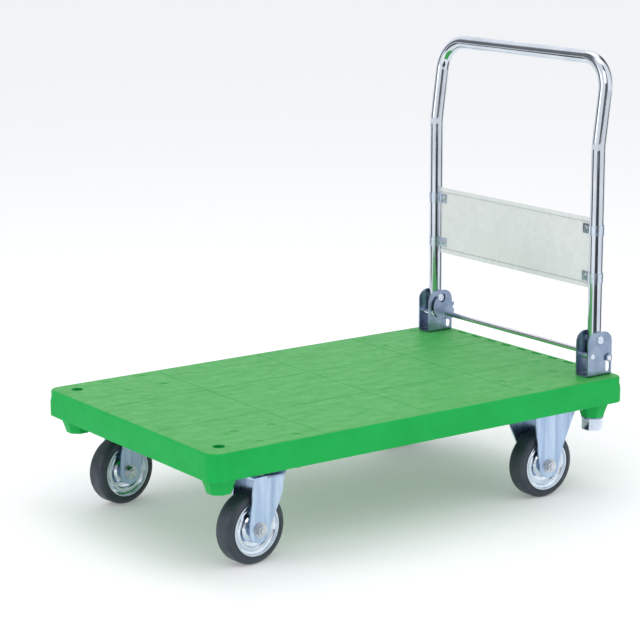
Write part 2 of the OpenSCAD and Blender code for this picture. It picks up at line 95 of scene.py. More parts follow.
studio = bpy.data.worlds.new("studio")
studio.use_nodes = True
bpy.context.scene.world = studio
sky_tree = studio.node_tree
sky = sky_tree.nodes["Background"]
sky.inputs["Strength"].default_value = 0.98
sky_place = sky_tree.nodes.new("ShaderNodeTexCoord")
sky_bands = sky_tree.nodes.new("ShaderNodeTexGradient")
sky_bands.gradient_type = "RADIAL"
sky_ramp = sky_tree.nodes.new("ShaderNodeValToRGB")
sky_ramp.color_ramp.interpolation = "EASE"
sky_colour = (0.95, 0.97, 1.0)
for end_stop in sky_ramp.color_ramp.elements:
    end_stop.color = (*sky_colour, 1)
# Places round the horizon, in turns, and how bright the sky is there
for place, level in ((0.10, 1.0), (0.15, 0.10), (0.22, 0.14), (0.27, 1.15), (0.46, 1.1), (0.50, 0.12),
                     (0.56, 0.10), (0.60, 1.1), (0.80, 1.1), (0.84, 0.2), (0.89, 0.2), (0.93, 1.0)):
    stop = sky_ramp.color_ramp.elements.new(place)
    stop.color = (*(channel * level for channel in sky_colour), 1)
sky_tree.links.new(sky_place.outputs["Generated"], sky_bands.inputs["Vector"])
sky_tree.links.new(sky_bands.outputs["Fac"], sky_ramp.inputs["Fac"])
seen, reflected_sky, seen_sky, sky_result = colour_mix(sky_tree)
seen_sky.default_value = (1, 1, 1, 1)
sky_tree.links.new(sky_tree.nodes.new("ShaderNodeLightPath").outputs["Is Camera Ray"], seen)
sky_tree.links.new(sky_ramp.outputs["Color"], reflected_sky)
sky_tree.links.new(sky_result, sky.inputs["Color"])

floor_size = 80
bpy.ops.mesh.primitive_plane_add(size=floor_size)
floor = bpy.context.object
floor.name = "studio_floor"
floor_paint = bpy.data.materials.new("floor_paint")
floor_paint.use_nodes = True
floor_shader = floor_paint.node_tree.nodes["Principled BSDF"]
floor_shader.inputs["Base Color"].default_value = (0.93, 0.93, 0.93, 1)
floor_shader.inputs["Roughness"].default_value = 0.9
floor_shader.inputs["Specular IOR Level"].default_value = 0.0
floor_shader.inputs["Emission Color"].default_value = (1, 1, 1, 1)
floor_shader.inputs["Emission Strength"].default_value = 0.20
floor.data.materials.append(floor_paint)


def dark_card(name, start, towards, near_w, far_w, length):
    """A dark card flat on the floor, widening away from the cart and seen only in bright metal."""
    bpy.ops.mesh.primitive_plane_add(size=1, location=(0, 0.5, 0))
    card = bpy.context.object
    card.name = name
    bpy.ops.object.transform_apply(location=True, rotation=True, scale=True)
    bpy.ops.object.mode_set(mode="EDIT")
    shape = bmesh.from_edit_mesh(card.data)
    for corner in shape.verts:
        corner.co.x *= near_w if corner.co.y < 0.5 else far_w
        corner.co.y *= length
    bmesh.update_edit_mesh(card.data)
    bpy.ops.object.mode_set(mode="OBJECT")
    card.location = (*start, card_lift)
    card.rotation_euler.z = math.atan2(towards[1], towards[0]) - math.pi / 2
    card.visible_camera = card.visible_diffuse = card.visible_shadow = False
    card.data.materials.append(card_paint)


card_lift = 0.001
card_paint = bpy.data.materials.new("card_paint")
card_paint.use_nodes = True
card_paint.node_tree.nodes["Principled BSDF"].inputs["Base Color"].default_value = (0.015, 0.017, 0.02, 1)
dark_card("front_card", (0.0, -0.95), (-0.62, -0.79), 1.1, 4.0, 4.0)
dark_card("rear_card", (1.2, -0.4), (0.9, -0.25), 0.6, 2.6, 4.0)
dark_card("far_card", (-0.9, 1.0), (-0.75, 0.75), 0.7, 3.0, 4.0)

# ---- Deck ----
# One injection moulding in green polypropylene: a flat top with a fine grain, a
# deep skirt, crossed ribs below, four caster seats and four flared corner bosses.
deck_low, deck_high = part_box("deck")
rim_lip = 0.0015
skirt_h = 0.048
deck_wall = 0.005
corner_r = 0.022
deck_top = deck_high.z
skirt_z = deck_top - skirt_h
deck_l = deck_high.x - deck_low.x - 2 * rim_lip
deck_w = deck_high.y - deck_low.y - 2 * rim_lip
SIDES = {"left": 1, "right": -1}
hair = 0.0001  # within this, a point lies on a plane that it is picked by


def choose_all():
    """Selects the whole of the open piece."""
    bpy.ops.mesh.select_all(action="SELECT")


def open_piece(name):
    """Names the primitive just added, settles its place in its mesh and opens it for editing."""
    piece = bpy.context.object
    piece.name = name
    piece.data.name = name
    bpy.ops.object.transform_apply(location=True, rotation=True, scale=True)
    bpy.ops.object.mode_set(mode="EDIT")
    choose_all()
    return piece


def middle(part):
    """The middle of an edge's or a face's corners."""
    return sum((v.co for v in part.verts), Vector()) / len(part.verts)


def runs(edge, axis):
    """True if an edge lies along X, Y or Z, given as 0, 1 or 2."""
    line = edge.verts[1].co - edge.verts[0].co
    return line.length > 0 and abs(line[axis]) / line.length > 0.999


def choose(piece, kind, test):
    """Selects the vertices, edges or faces of the open piece that pass the test."""
    bpy.ops.mesh.select_mode(type=kind)
    bpy.ops.mesh.select_all(action="DESELECT")
    shape = bmesh.from_edit_mesh(piece.data)
    parts = {"VERT": shape.verts, "EDGE": shape.edges, "FACE": shape.faces}[kind]
    for part in [part for part in parts if test(part)]:
        part.select_set(True)
    bmesh.update_edit_mesh(piece.data)


def push(offset):
    """Extrudes what is selected straight along an offset."""
    bpy.ops.mesh.extrude_region_move(TRANSFORM_OT_translate={"value": offset})


def bevel_edges(piece, width, segments, test):
    """Rounds the edges of the open piece that pass the test."""
    choose(piece, "EDGE", test)
    bpy.ops.mesh.bevel(offset=width, segments=segments, affect="EDGES")


def cut_flat(height):
    """Adds a level line of edges all round the open piece."""
    choose_all()
    bpy.ops.mesh.bisect(plane_co=(0, 0, height), plane_no=(0, 0, 1))


def close_piece():
    """Leaves edit mode with the normals facing out."""
    choose_all()
    bpy.ops.mesh.remove_doubles(threshold=0.00001)
    bpy.ops.mesh.normals_make_consistent(inside=False)
    bpy.ops.object.mode_set(mode="OBJECT")


def pick(piece):
    """Makes a piece the only selected object."""
    bpy.ops.object.select_all(action="DESELECT")
    piece.select_set(True)
    bpy.context.view_layer.objects.active = piece


def modify(piece, kind, **settings):
    """Adds a modifier with these settings and applies it."""
    pick(piece)
    bpy.ops.object.modifier_add(type=kind)
    modifier = piece.modifiers[-1]
    for setting, value in settings.items():
        setattr(modifier, setting, value)
    bpy.ops.object.modifier_apply(modifier=modifier.name)


def combine(piece, tool, operation):
    """Joins a tool shape to a piece, or cuts the piece with it."""
    modify(piece, "BOOLEAN", object=tool, operation=operation, solver="EXACT")
    bpy.data.objects.remove(tool)


def joined(pieces):
    """Several shapes as one object."""
    pick(pieces[0])
    for piece in pieces:
        piece.select_set(True)
    if len(pieces) > 1:
        bpy.ops.object.join()
    return pieces[0]


TURN_TO = {"X": (0, math.pi / 2, 0), "Y": (math.pi / 2, 0, 0), "Z": (0, 0, 0)}


def rod(place, radius, length, axis="Z", sides=48):
    """A plain cylinder about a place, as a start or as a cutter."""
    bpy.ops.mesh.primitive_cylinder_add(
        vertices=sides, radius=radius, depth=length, location=place, rotation=TURN_TO[axis])
    bpy.ops.object.transform_apply(location=True, rotation=True, scale=True)
    return bpy.context.object


def block(place, size):
    """A plain box about a place, as a start or as a cutter."""
    bpy.ops.mesh.primitive_cube_add(size=1, location=place, scale=size)
    bpy.ops.object.transform_apply(location=True, rotation=True, scale=True)
    return bpy.context.object


def smooth(piece, angle=32):
    """Smooth shading over rounded stretches, with flat faces kept flat."""
    pick(piece)
    bpy.ops.object.shade_smooth_by_angle(angle=math.radians(angle))
    modify(piece, "WEIGHTED_NORMAL", keep_sharp=True, weight=60)


def stand_in(piece, material, body, node):
    """Finishes a piece that rides a body and stands for a CAD node."""
    piece.data.materials.append(material)
    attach(piece, body)
    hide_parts(node)


def shader_of(name, constants):
    """A material whose shader has these constants, with its node tree."""
    material = bpy.data.materials.new(name)
    material.use_nodes = True
    shader = material.node_tree.nodes["Principled BSDF"]
    for socket, value in constants.items():
        shader.inputs[socket].default_value = value
    return material, material.node_tree, shader


def grain(tree, scale, detail=3.0, stretch=(1, 1, 1)):
    """Noise in the piece's own space, so many to the metre, stretched along its axes."""
    place = tree.nodes.new("ShaderNodeTexCoord")
    mapping = tree.nodes.new("ShaderNodeMapping")
    noise = tree.nodes.new("ShaderNodeTexNoise")
    mapping.inputs["Scale"].default_value = stretch
    noise.inputs["Scale"].default_value = scale
    noise.inputs["Detail"].default_value = detail
    tree.links.new(place.outputs["Object"], mapping.inputs["Vector"])
    tree.links.new(mapping.outputs["Vector"], noise.inputs["Vector"])
    return noise.outputs["Fac"]


def tint(tree, source, socket, low, high, start=0.3, end=0.7):
    """Colours a socket from low to high as the source goes from start to end."""
    ramp = tree.nodes.new("ShaderNodeValToRGB")
    ramp.color_ramp.elements[0].position = start
    ramp.color_ramp.elements[1].position = end
    ramp.color_ramp.elements[0].color = (*low, 1)
    ramp.color_ramp.elements[1].color = (*high, 1)
    tree.links.new(source, ramp.inputs["Fac"])
    tree.links.new(ramp.outputs["Color"], socket)
    return ramp


def vary(tree, source, socket, low, high, start=0.3, end=0.7):
    """Sets a number socket from low to high as the source goes from start to end."""
    spread = tree.nodes.new("ShaderNodeMapRange")
    spread.inputs["From Min"].default_value = start
    spread.inputs["From Max"].default_value = end
    spread.inputs["To Min"].default_value = low
    spread.inputs["To Max"].default_value = high
    tree.links.new(source, spread.inputs["Value"])
    tree.links.new(spread.outputs["Result"], socket)


def relief(tree, shader, source, depth, strength=1.0):
    """Raises the surface by up to depth metres where the source is high."""
    bump = tree.nodes.new("ShaderNodeBump")
    bump.inputs["Strength"].default_value = strength
    bump.inputs["Distance"].default_value = depth
    tree.links.new(source, bump.inputs["Height"])
    before = shader.inputs["Normal"].links
    if before:
        tree.links.new(before[0].from_socket, bump.inputs["Normal"])
    tree.links.new(bump.outputs["Normal"], shader.inputs["Normal"])


def green_plastic():
    """Green moulded polypropylene; its top is painted paler and lighter, a painted sheen of the light on it.
    """
    material, tree, shader = shader_of("deck_plastic", {"IOR": 1.45, "Specular IOR Level": 0.22})
    facing = tree.nodes.new("ShaderNodeNewGeometry")
    upward = tree.nodes.new("ShaderNodeSeparateXYZ")
    tree.links.new(facing.outputs["Normal"], upward.inputs["Vector"])
    # Faces that look up take a paler colour: painted sheen on the top, not the plastic's own colour.
    top = tree.nodes.new("ShaderNodeMapRange")
    top.inputs["From Min"].default_value = 0.7
    top.inputs["From Max"].default_value = 0.98
    tree.links.new(upward.outputs["Z"], top.inputs["Value"])
    upward_sheen_mask, side_colour, painted_top_sheen_colour, result = colour_mix(tree)
    tree.links.new(top.outputs["Result"], upward_sheen_mask)
    tint(tree, grain(tree, 14, 4), side_colour, (0.004, 0.42, 0.072), (0.009, 0.47, 0.090))
    tint(tree, grain(tree, 22, 6, (1, 2.4, 1)), painted_top_sheen_colour, (0.052, 0.40, 0.074), (0.092, 0.47, 0.112))
    tree.links.new(result, shader.inputs["Base Color"])
    vary(tree, grain(tree, 60, 3), shader.inputs["Roughness"], 0.40, 0.56)
    relief(tree, shader, grain(tree, 420, 2), 0.0004, 0.35)
    relief(tree, shader, grain(tree, 90, 2, (0.35, 1, 1)), 0.0010, 0.25)
    return material


deck_paint = green_plastic()
block((0, 0, deck_top - skirt_h / 2), (deck_l, deck_w, skirt_h))
deck = open_piece("deck_moulding")
bevel_edges(deck, corner_r, 10, lambda e: runs(e, 2))
lip_h, lip_slope = 0.026, 0.009
cut_flat(skirt_z + lip_h)
cut_flat(skirt_z + lip_h + lip_slope)
choose(deck, "VERT", lambda v: v.co.z < skirt_z + lip_h + hair)
wider = (1 + 2 * rim_lip / deck_l, 1 + 2 * rim_lip / deck_w, 1)
bpy.ops.transform.resize(value=wider, center_override=(0, 0, skirt_z))
choose(deck, "FACE", lambda f: f.normal.z < -0.9)
bpy.ops.mesh.inset(thickness=deck_wall + rim_lip)
push((0, 0, skirt_h - deck_wall))
top_round, foot_round = 0.0045, 0.0012
bevel_edges(deck, top_round, 4, lambda e: all(v.co.z > deck_top - hair for v in e.verts))


def on_outline(point):
    """True on the deck's outer wall: its flat sides and its four round corners."""
    past_x, past_y = abs(point.x) - deck_l / 2, abs(point.y) - deck_w / 2
    in_corner = past_x > -corner_r and past_y > -corner_r
    from_turn = Vector((past_x + corner_r, past_y + corner_r)).length
    return past_x > -hair or past_y > -hair or (in_corner and from_turn > corner_r - 5 * hair)


bevel_edges(deck, foot_round, 2,
            lambda e: all(v.co.z < skirt_z + hair for v in e.verts) and on_outline(middle(e)))
close_piece()

cells_x, cells_y = 12, 7
rib_t, rib_gap = 0.0035, 0.008
rib_top = deck_top - deck_wall / 2
bpy.ops.mesh.primitive_grid_add(
    x_subdivisions=cells_x, y_subdivisions=cells_y, size=1, location=(0, 0, rib_top))
ribs = open_piece("ribs")
bpy.ops.transform.resize(
    value=(deck_l - deck_wall, deck_w - deck_wall, 1), center_override=(0, 0, rib_top))
bpy.ops.mesh.delete(type="ONLY_FACE")
choose(ribs, "EDGE", lambda e: abs(middle(e).x) > deck_l / 2 - deck_wall
       or abs(middle(e).y) > deck_w / 2 - deck_wall)
bpy.ops.mesh.delete(type="EDGE")
choose_all()
push((0, 0, skirt_z + rib_gap - rib_top))
bpy.ops.mesh.delete_loose()
bpy.ops.object.mode_set(mode="OBJECT")
modify(ribs, "SOLIDIFY", solidify_mode="NON_MANIFOLD", thickness=rib_t, offset=0)


def centre_of(node):
    """The middle of a CAD node's box."""
    return sum(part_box(node), Vector()) / 2


def span(node):
    """A CAD node's size along X, Y and Z."""
    low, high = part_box(node)
    return high - low


# Each seat is its place, its length and width, and its bolts' pitch along X and Y
swivel_at = [centre_of(f"swivel_plate_{side}") for side in SIDES]
rigid_at = [centre_of(f"rigid_fork_{side}") for side in SIDES]
seats = [(place, 0.104, 0.104, 0.075, 0.075) for place in swivel_at]
seats += [(place, 0.152, 0.104, 0.126, 0.074) for place in rigid_at]
seat_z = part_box("swivel_plate_left")[1].z
seat_h = rib_top - seat_z
seat_wall, seat_corner, seat_post_r = 0.004, 0.006, 0.012


def bolt_places(seat):
    """The four bolt centres of a caster seat."""
    place, *_, pitch_x, pitch_y = seat
    return [(place.x + sx * pitch_x / 2, place.y + sy * pitch_y / 2) for sx in (-1, 1) for sy in (-1, 1)]


bolts_at = [spot for seat in seats for spot in bolt_places(seat)]
seat_walls = []
for place, seat_l, seat_w, *_ in seats:
    block((place.x, place.y, seat_z + seat_h / 2), (seat_l, seat_w, seat_h))
    wall = open_piece("seat")
    bevel_edges(wall, seat_corner, 3, lambda e: runs(e, 2))
    choose(wall, "FACE", lambda f: f.normal.z < -0.9)
    bpy.ops.mesh.inset(thickness=seat_wall)
    push((0, 0, seat_h - 0.001))
    close_piece()
    seat_walls.append(wall)
seat_posts = [rod((x, y, seat_z + seat_h / 2), seat_post_r, seat_h, sides=32) for x, y in bolts_at]

boss_x, boss_y = 0.410, 0.234
boss_z = deck_low.z
boss_r, boss_step, boss_round, boss_foot_round = 0.0330, 0.011, 0.0016, 0.0010
corners = [(end * boss_x, side * boss_y) for end in (-1, 1) for side in (-1, 1)]
bosses = []
for corner in corners:
    bpy.ops.mesh.primitive_cylinder_add(
        vertices=8, radius=boss_r, depth=rib_top - boss_z, rotation=(0, 0, math.pi / 8),
        location=(*corner, (rib_top + boss_z) / 2))
    boss = open_piece("boss")
    cut_flat(skirt_z + 0.002)
    cut_flat(boss_z + boss_step)
    for level, share in ((boss_z, 0.66), (boss_z + boss_step, 0.76)):
        choose(boss, "VERT", lambda v, level=level: abs(v.co.z - level) < 5 * hair)
        bpy.ops.transform.resize(value=(share, share, 1), center_override=(*corner, level))
    bevel_edges(boss, boss_round, 3, lambda e: abs(e.verts[0].co.z - e.verts[1].co.z) > 0.004)
    bevel_edges(boss, boss_foot_round, 2, lambda e: all(v.co.z < boss_z + 2 * hair for v in e.verts))
    close_piece()
    bosses.append(boss)
inside = block((0, 0, (boss_z + rib_top) / 2),
               (deck_l - deck_wall, deck_w - deck_wall, rib_top - boss_z + 0.002))
bosses = joined(bosses)
combine(bosses, inside, "INTERSECT")
for addition in (ribs, joined(seat_walls), joined(seat_posts), bosses):
    combine(deck, addition, "UNION")

socket_r, socket_cut = 0.0105, 0.12
bore_r, bore_l, past = 0.0065, 0.022, 0.002
sockets = [rod((x, y, deck_top - 0.05), socket_r, socket_cut) for x, y in corners]
bores = [rod((x, y, seat_z + (bore_l - past) / 2), bore_r, bore_l + past, sides=32) for x, y in bolts_at]
combine(deck, joined(sockets + bores), "DIFFERENCE")

# Shallow moulded marks above the caster bolts, and fine lines across and along the top
mark_r, mark_depth = 0.0075, 0.0006
marks = [rod((x, y, deck_top), mark_r, 2 * mark_depth) for x, y in bolts_at]
line_w, line_depth, line_stop = 0.0018, 0.0003, 0.012
across = [block((x, 0, deck_top), (line_w, deck_w - 2 * line_stop, 2 * line_depth))
          for x in (-deck_l / 4, 0, deck_l / 4)]
along = [block((0, y, deck_top), (deck_l - 2 * line_stop, line_w, 2 * line_depth))
         for y in (-deck_w / 6, deck_w / 6)]

# A row of shallow drain slots along the handle's end, between the brackets
drain_n, drain_pitch, drain_in = 9, 0.045, 0.014
drain_l, drain_w, drain_depth = 0.026, 0.007, 0.002
drains = [block((deck_l / 2 - drain_in, (i - (drain_n - 1) / 2) * drain_pitch, deck_top),
                (drain_w, drain_l, 2 * drain_depth)) for i in range(drain_n)]
for cutters in (marks, across, along, drains):
    combine(deck, joined(cutters), "DIFFERENCE")
smooth(deck)
stand_in(deck, deck_paint, "chassis", "deck")

# ---- Caster inserts and bolts ----
# Brass inserts are moulded into the seats. Zinc-plated hexagon bolts with washers
# come up through the caster plates into them.


def brass():
    """Turned brass, a little dull."""
    material, tree, shader = shader_of("brass_insert", {"Metallic": 1.0, "Roughness": 0.35})
    tint(tree, grain(tree, 300), shader.inputs["Base Color"], (0.55, 0.38, 0.14), (0.68, 0.49, 0.20))
    return material


def plated_steel(name, low, high, rough_low, rough_high, streak=(1, 1, 1)):
    """Zinc-plated steel: bluish grey, with the faint cloudy spangle of the plating."""
    material, tree, shader = shader_of(name, {"Metallic": 1.0})
    tint(tree, grain(tree, 45, 5, streak), shader.inputs["Base Color"], low, high)
    vary(tree, grain(tree, 130, 4, streak), shader.inputs["Roughness"], rough_low, rough_high)
    relief(tree, shader, grain(tree, 900, 2), 0.0001, 0.25)
    return material


def dress(node_name, material):
    """Gives a CAD node its finish."""
    node = frame["nodes"][node_name]
    if not node.material_slots:
        node.data.materials.append(material)
    for slot in node.material_slots:
        slot.material = material


fastener_steel = plated_steel("fastener_steel", (0.50, 0.53, 0.57), (0.66, 0.69, 0.73), 0.22, 0.36)
dress("caster_inserts", brass())


def soften(piece, width, angle=40, segments=2):
    """Takes the sharpness off every real edge, as tumbling and plating do."""
    modify(piece, "BEVEL", width=width, segments=segments,
           limit_method="ANGLE", angle_limit=math.radians(angle))


def hexagon(name, place, radius, height, axis="Z", bore=0.0):
    """A hexagon nut or bolt head with its corners turned back, centred on a place."""
    nut = rod((0, 0, 0), radius, height, sides=6)
    rod((0, 0, 0), radius * 1.01, height)
    turned = open_piece("turned")
    choose(turned, "EDGE", lambda e: abs(e.verts[0].co.z - e.verts[1].co.z) < 0.00001)
    bpy.ops.mesh.bevel(offset=radius * 0.16, offset_type="WIDTH", segments=2, affect="EDGES", profile=0.6)
    close_piece()
    combine(nut, turned, "INTERSECT")
    if bore:
        combine(nut, rod((0, 0, 0), bore, height * 2), "DIFFERENCE")
    soften(nut, radius * 0.02)
    nut.rotation_euler = TURN_TO[axis]
    nut.location = place
    pick(nut)
    bpy.ops.object.transform_apply(location=True, rotation=True, scale=True)
    nut.name = name
    nut.data.name = name
    smooth(nut)
    return nut


def copy_to(piece, name, place, turn=0.0):
    """A copy with its own mesh, turned about Z through the origin and moved by place."""
    twin = piece.copy()
    twin.data = piece.data.copy()
    twin.name = name
    twin.data.name = name
    bpy.context.scene.collection.objects.link(twin)
    twin.data.transform(Matrix.Translation(place) @ Matrix.Rotation(turn, 4, "Z"))
    return twin


bolt_low, bolt_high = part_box("caster_bolts")
bolt_l = bolt_high.z - bolt_low.z
bolt_r, head_r, head_h = 0.0040, 0.0065, 0.0038
washer_r, washer_h = 0.0075, 0.0012
bolt = joined([
    hexagon("bolt", (0, 0, head_h / 2), head_r, head_h),
    rod((0, 0, head_h + washer_h / 2), washer_r, washer_h),
    rod((0, 0, (bolt_l + head_h) / 2), bolt_r, bolt_l - head_h, sides=24)])
bolt_set = [copy_to(bolt, "bolt_copy", Vector((x, y, bolt_low.z))) for x, y in bolts_at]
bpy.data.objects.remove(bolt)
bolts = joined(bolt_set)
bolts.name = "caster_bolt_set"
smooth(bolts)
stand_in(bolts, fastener_steel, "chassis", "caster_bolts")

# ---- Hinge brackets ----
# Each is one strip of 2.8 mm steel bent to a channel, with rounded upper corners,
# a rivet hole for the pivot and a slot that the lock rod slides in. Zinc plated.
bracket_t, bracket_round, bracket_bend = 0.0028, 0.020, 0.0045
bracket_w = span("bracket_left").y
slot_w, slot_h, slot_above = 0.0108, 0.0318, 0.0054
pivot_r, stop_r, stud_r = 0.0050, 0.0035, 0.0100
bracket_paint = plated_steel("bracket_zinc", (0.23, 0.30, 0.43), (0.36, 0.44, 0.57), 0.24, 0.40)
pivot_z = centre_of("pivot_bushes").z
rod_x, _, rod_z = centre_of("lock_rod")
stop_x, _, stop_z = centre_of("stop_pins")


def face_out(piece, outward):
    """Turns an open sheet over if its outermost face along a direction looks inwards."""
    outermost = max(piece.data.polygons, key=lambda f: f.center.dot(outward))
    if outermost.normal.dot(outward) < 0:
        piece.data.flip_normals()


for side in SIDES:
    low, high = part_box(f"bracket_{side}")
    centre = (low + high) / 2
    block(centre, high - low)
    bracket = open_piece(f"hinge_bracket_{side}")
    choose(bracket, "FACE", lambda f: f.normal.z > 0.9 or abs(f.normal.x) > 0.9)
    bpy.ops.mesh.delete(type="FACE")
    choose(bracket, "VERT", lambda v: v.co.z > high.z - hair)
    bpy.ops.mesh.bevel(offset=bracket_round, segments=10, affect="VERTICES")
    bevel_edges(bracket, bracket_bend, 5, lambda e: runs(e, 0) and middle(e).z < low.z + hair)
    close_piece()
    face_out(bracket, Vector((0, 0, -1)))
    modify(bracket, "SOLIDIFY", thickness=bracket_t, offset=-1, use_even_offset=True)
    block((rod_x, centre.y, rod_z + slot_above - slot_h / 2), (slot_w, 0.06, slot_h))
    slot_tool = open_piece("slot_tool")
    bevel_edges(slot_tool, slot_w / 2 - 0.00001, 8, lambda e: runs(e, 1))
    close_piece()
    combine(bracket, slot_tool, "DIFFERENCE")
    holes = [rod((boss_x, centre.y, pivot_z), pivot_r, 0.06, "Y"),
             rod((stop_x, centre.y, stop_z), stop_r, 0.06, "Y"),
             rod((boss_x, centre.y, low.z), stud_r, 0.02)]
    combine(bracket, joined(holes), "DIFFERENCE")
    soften(bracket, 0.0004)
    smooth(bracket)
    stand_in(bracket, bracket_paint, "chassis", f"bracket_{side}")

# ---- Bracket studs, washers and nuts ----
# A stud with a flat head is held between the bracket's side plates and goes down
# through the corner boss, where a thick washer and a tall nut pull it tight.
stud_low, stud_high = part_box("bracket_studs")
stud_head_l, stud_head_w, stud_head_h = 0.022, 0.027, 0.007
boss_washer_r, boss_nut_r = 0.0205, 0.0196
stud_l = stud_high.z - stud_low.z - stud_head_h
bright_nut = plated_steel("bright_nut", (0.58, 0.66, 0.78), (0.72, 0.79, 0.90), 0.16, 0.28)


def both(piece, name, x, z):
    """Copies of a shape at the two corner posts, as one piece."""
    pair = joined([copy_to(piece, name, Vector((x, sign * boss_y, z))) for sign in SIDES.values()])
    pair.name = name
    bpy.data.objects.remove(piece)
    return pair


rod((0, 0, 0), stud_r, stud_l)
stud = open_piece("stud")
bevel_edges(stud, 0.0015, 2, lambda e: all(v.co.z < 0 for v in e.verts))
close_piece()
stud_head = block((0, 0, (stud_l + stud_head_h) / 2), (stud_head_l, stud_head_w, stud_head_h))
soften(stud_head, 0.001)
studs = both(joined([stud, stud_head]), "bracket_stud_pair", boss_x, stud_low.z + stud_l / 2)
washer = rod((0, 0, 0), boss_washer_r, span("bracket_washers").z, sides=64)
combine(washer, rod((0, 0, 0), stud_r, 0.02), "DIFFERENCE")
soften(washer, 0.0004)
washers = both(washer, "bracket_washer_pair", boss_x, centre_of("bracket_washers").z)
nut = hexagon("nut", (0, 0, 0), boss_nut_r, span("bracket_nuts").z, bore=stud_r)
nuts = both(nut, "bracket_nut_pair", boss_x, centre_of("bracket_nuts").z)
for piece, finish, slot, node in ((studs, fastener_steel, "fastener_steel", "bracket_studs"),
                                  (washers, bracket_paint, "zinc_plate", "bracket_washers"),
                                  (nuts, bright_nut, "fastener_steel", "bracket_nuts")):
    smooth(piece)
    stand_in(piece, finish, "chassis", node)

# ---- Pivot and stop rivets ----
# Solid steel rivets through the brackets, their ends set to low domes. The handle
# turns on the upper pair; the lower pair holds its tail upright.


def rivet(radius, length, dome_r, dome_h):
    """A rivet along Y about the origin, with a domed head at each end."""
    rod((0, 0, 0), radius, length, "Y", 40)
    pin = open_piece("rivet")
    choose(pin, "FACE", lambda f: abs(f.normal.y) > 0.9)
    push((0, 0, 0))
    share = dome_r / radius
    bpy.ops.transform.resize(value=(share, 1, share), center_override=(0, 0, 0))
    bpy.ops.mesh.extrude_region_shrink_fatten(TRANSFORM_OT_shrink_fatten={"value": dome_h})
    bevel_edges(pin, dome_h * 0.85, 4, lambda e: all(abs(v.co.y) > length / 2 + dome_h / 2 for v in e.verts))
    close_piece()
    return pin


pivots = both(rivet(pivot_r, bracket_w, 0.0080, 0.0025), "pivot_rivets", boss_x, pivot_z)
stop_sleeve_r = 0.0050
stop_sleeve = rod((0, 0, 0), stop_sleeve_r, bracket_w - 2 * bracket_t, "Y")
stops = both(joined([rivet(stop_r, bracket_w, 0.0055, 0.0016), stop_sleeve]), "stop_rivets", stop_x, stop_z)
for piece, node in ((pivots, "pivot_pins"), (stops, "stop_pins")):
    smooth(piece)
    stand_in(piece, bright_nut, "chassis", node)

# ---- Lock ----
# A bright foot rod runs through both brackets' slots. It carries a slotted plate
# beside each bracket and rests on two small springs; nuts hold its ends.
rod_r = 0.005
rod_nut_r, rod_nut_h, rod_nut_gap = 0.008, 0.0034, 0.0006


def drawn_steel():
    """Cold drawn rod, bright, with fine lines along it."""
    material, tree, shader = shader_of("bright_rod", {"Metallic": 1.0})
    tint(tree, grain(tree, 60, 3, (1, 0.1, 1)), shader.inputs["Base Color"],
         (0.70, 0.72, 0.76), (0.86, 0.88, 0.91))
    vary(tree, grain(tree, 400, 2, (1, 0.03, 1)), shader.inputs["Roughness"], 0.14, 0.26)
    return material


rod((rod_x, 0, rod_z), rod_r, span("lock_rod").y, "Y")
foot_rod = open_piece("foot_rod")
bevel_edges(foot_rod, 0.0010, 2, lambda e: not runs(e, 1))
close_piece()
smooth(foot_rod)
stand_in(foot_rod, drawn_steel(), "lock", "lock_rod")

rod_nut_y = boss_y + bracket_w / 2 + rod_nut_gap + rod_nut_h / 2
rod_nuts = joined([hexagon("rod_nut", (rod_x, sign * rod_nut_y, rod_z), rod_nut_r, rod_nut_h, "Y", rod_r)
                   for sign in SIDES.values()])
rod_nuts.name = "foot_rod_nuts"
stand_in(rod_nuts, bracket_paint, "lock", "lock_rod_nuts")

lock_t, lock_cut = 0.003, 0.01
lock_r, lock_x, lock_z = 0.024, 0.413, deck_top + 0.051
lock_foot_r, lock_slot_r, lock_eye_r = 0.011, 0.0084, 0.0045
neck_w, neck_h, neck_aside = 0.019, 0.024, 0.0015
eye_aside, eye_up = 0.012, 0.014
for side in SIDES:
    y = centre_of(f"lock_plate_{side}").y
    plate = rod((lock_x, y, lock_z), lock_r, lock_t, "Y", 64)
    combine(plate, rod((rod_x, y, rod_z), lock_foot_r, lock_t, "Y"), "UNION")
    neck = block((rod_x + neck_aside, y, rod_z + neck_h / 2), (neck_w, lock_t, neck_h))
    combine(plate, neck, "UNION")
    combine(plate, rod((boss_x, y, pivot_z), lock_slot_r, lock_cut, "Y"), "DIFFERENCE")
    mouth = block((boss_x, y, pivot_z + neck_h / 2), (2 * lock_slot_r, lock_cut, neck_h))
    combine(plate, mouth, "DIFFERENCE")
    combine(plate, rod((rod_x, y, rod_z), rod_r, lock_cut, "Y"), "DIFFERENCE")
    combine(plate, rod((rod_x + eye_aside, y, rod_z + eye_up), lock_eye_r, lock_cut, "Y"), "DIFFERENCE")
    soften(plate, 0.0004)
    plate.name = f"lock_slide_{side}"
    plate.data.name = plate.name
    smooth(plate)
    stand_in(plate, bracket_paint, "lock", f"lock_plate_{side}")

spring_low, spring_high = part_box("lock_springs")
wire_r, coil_r, turns = 0.0006, 0.0046, 3
bpy.ops.mesh.primitive_circle_add(
    vertices=10, radius=wire_r, location=(coil_r, 0, 0), rotation=(math.pi / 2, 0, 0))
spring = open_piece("spring")
bpy.ops.object.mode_set(mode="OBJECT")
modify(spring, "SCREW", angle=2 * math.pi * turns, screw_offset=spring_high.z - spring_low.z - 2 * wire_r,
       steps=28 * turns, render_steps=28 * turns, use_merge_vertices=False)
pick(spring)
bpy.ops.object.mode_set(mode="EDIT")
choose_all()
bpy.ops.mesh.fill_holes(sides=0)
close_piece()
springs = both(spring, "lock_spring_pair", rod_x, spring_low.z + wire_r)
spring_steel, spring_tree, spring_shader = shader_of("spring_steel", {"Metallic": 1.0, "Roughness": 0.3})
tint(spring_tree, grain(spring_tree, 500), spring_shader.inputs["Base Color"],
     (0.42, 0.43, 0.45), (0.60, 0.61, 0.63))
smooth(springs, 60)
